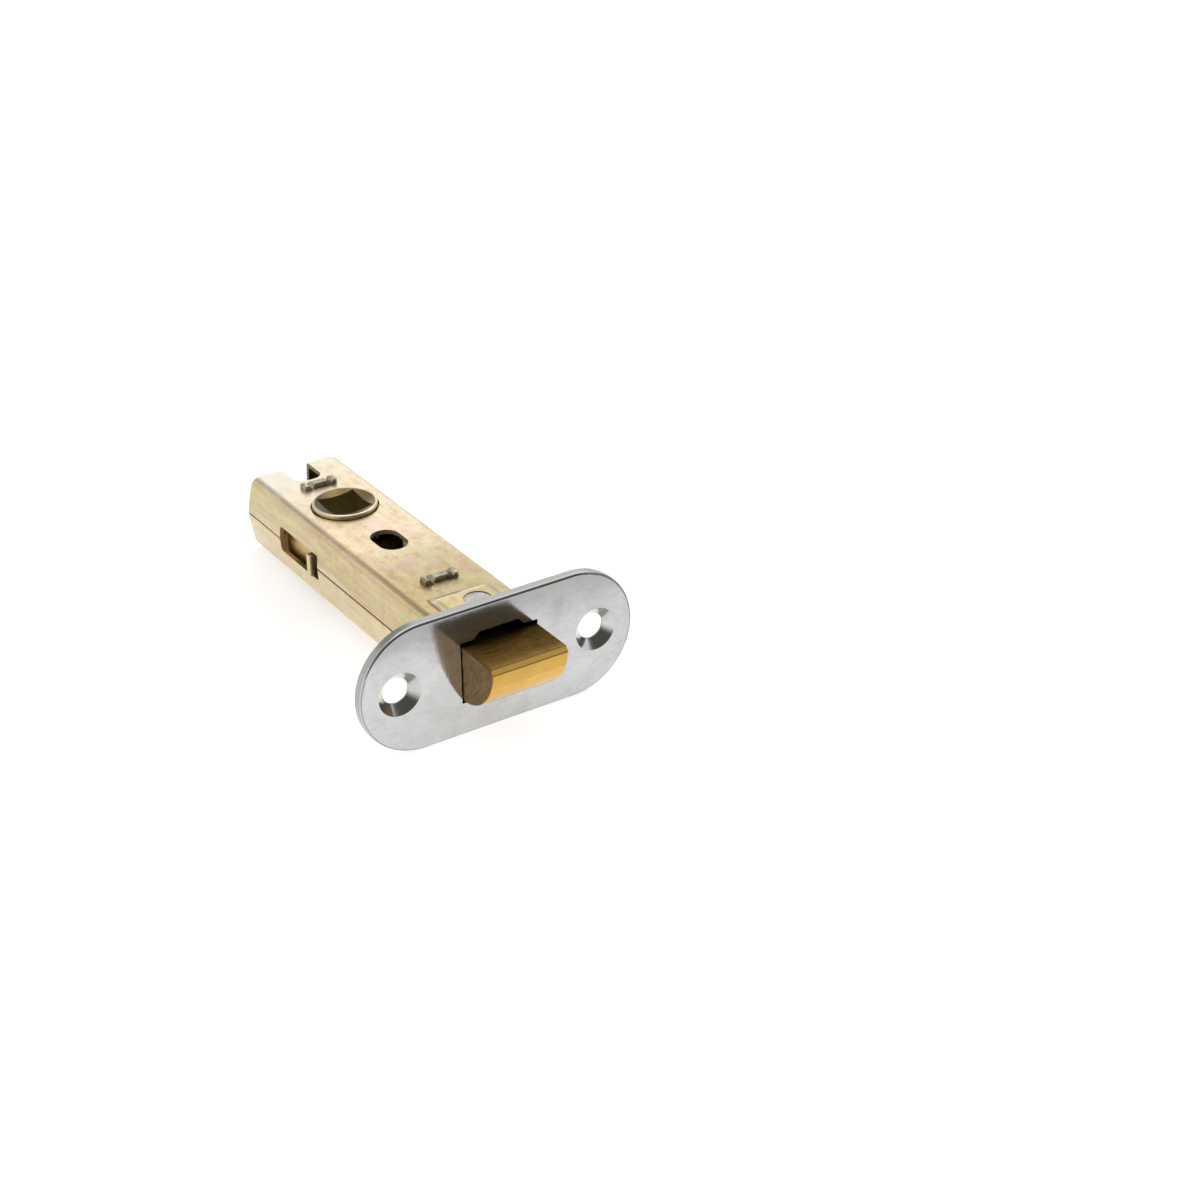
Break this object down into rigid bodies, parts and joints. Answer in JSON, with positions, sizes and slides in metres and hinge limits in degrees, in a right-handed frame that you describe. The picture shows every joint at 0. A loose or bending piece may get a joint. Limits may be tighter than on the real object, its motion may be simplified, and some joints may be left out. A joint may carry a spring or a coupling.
{
  "type": "tubular latch",
  "caption": "Tubular door latch: round-ended forend, spring bolt with a rounded striking face, and a drawn sheet case with a square-hole follower that draws the bolt back.",
  "frame": {"origin": "centre of the forend's front face", "axes": "+X out of the forend, the way the bolt projects; +Y along the forend; +Z along the spindle axis, up as the latch lies"},
  "size_m": [0.09, 0.057, 0.0254],
  "materials": {
    "plated_forend": "bright plated steel, finely scratched",
    "zinc_case": "yellow passivated zinc on drawn steel, pale gold with faint pink and green",
    "zinc_tail": "yellow passivated zinc",
    "staked_steel": "bare staked steel",
    "inner_steel": "dull plated steel",
    "spring_steel": "drawn spring wire",
    "bolt_brass": "brushed brass",
    "follower_bronze": "sintered, dull bronze colour"
  },
  "bodies": {
    "case": {"forend": "plated_forend", "upper_case": "zinc_case", "lower_case": "zinc_case", "front_spacer": "staked_steel", "rear_spacer": "staked_steel", "upper_bolt_guide": "inner_steel", "lower_bolt_guide": "inner_steel", "spring_guide_pin": "inner_steel", "bolt_spring": "spring_steel"},
    "bolt": {"latch_bolt": "bolt_brass", "left_tail_arm": "zinc_tail", "right_tail_arm": "zinc_tail", "left_tail_rivet": "inner_steel", "right_tail_rivet": "inner_steel"},
    "follower": {"follower": "follower_bronze"}
  },
  "joints": [
    {"name": "follower_turn", "type": "hinge", "parent": "case", "child": "follower", "pos_m": [-0.057, 0, 0], "axis": [0, 0, 1], "range_deg": [0, 65]},
    {"name": "bolt_slide", "type": "slide", "parent": "case", "child": "bolt", "axis": [1, 0, 0], "range_m": [-0.0112, 0], "stiffness_N_per_m": 500, "springref_m": 0.012, "deforming": ["bolt_spring"]}
  ],
  "couplings": [
    {"joint": "follower_turn", "follows": "bolt_slide", "rad_per_m": -101.29}
  ]
}
